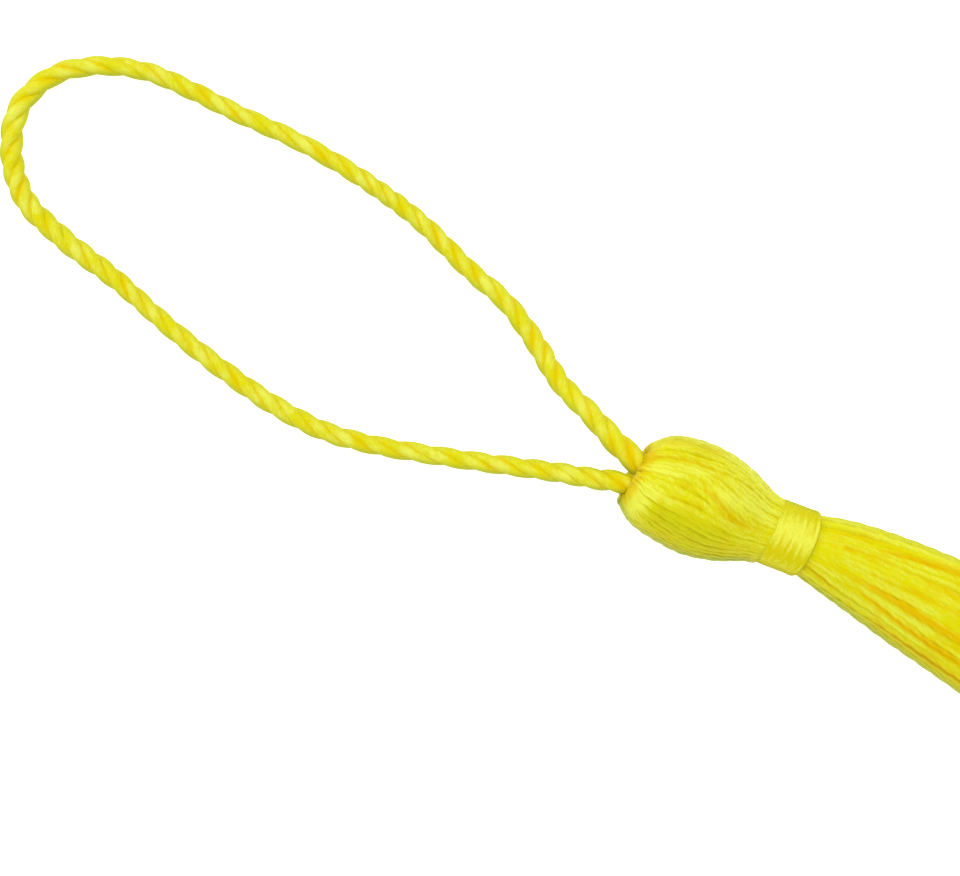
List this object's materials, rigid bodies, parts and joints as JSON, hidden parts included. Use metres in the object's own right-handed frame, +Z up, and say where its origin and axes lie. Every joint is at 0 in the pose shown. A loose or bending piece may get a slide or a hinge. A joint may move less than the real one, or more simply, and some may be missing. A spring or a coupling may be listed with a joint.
{
  "type": "silk tassel",
  "caption": "Small silk tassel lying on its side: folded thread head, wound neck band, spread skirt and a twisted cord loop to hang it by.",
  "frame": {"origin": "bottom centre of the yarn's box (head, neck and skirt, without the cord), on the surface that the tassel lies on", "axes": "+X along the tassel from the head to the skirt's cut end, +Z up from the surface, +Y across the tassel; the hanging loop lies on the -X side"},
  "size_m": [0.1503, 0.027, 0.0105],
  "materials": {
    "silk_yarn": "lustrous soft-twist silk thread",
    "silk_binding": "smooth lustrous silk floss, wound",
    "silk_cord": "lustrous three-ply twisted silk cord"
  },
  "bodies": {
    "root": {"yarn_bundle": "silk_yarn", "neck_binding": "silk_binding", "hanging_cord": "silk_cord"}
  },
  "joints": []
}
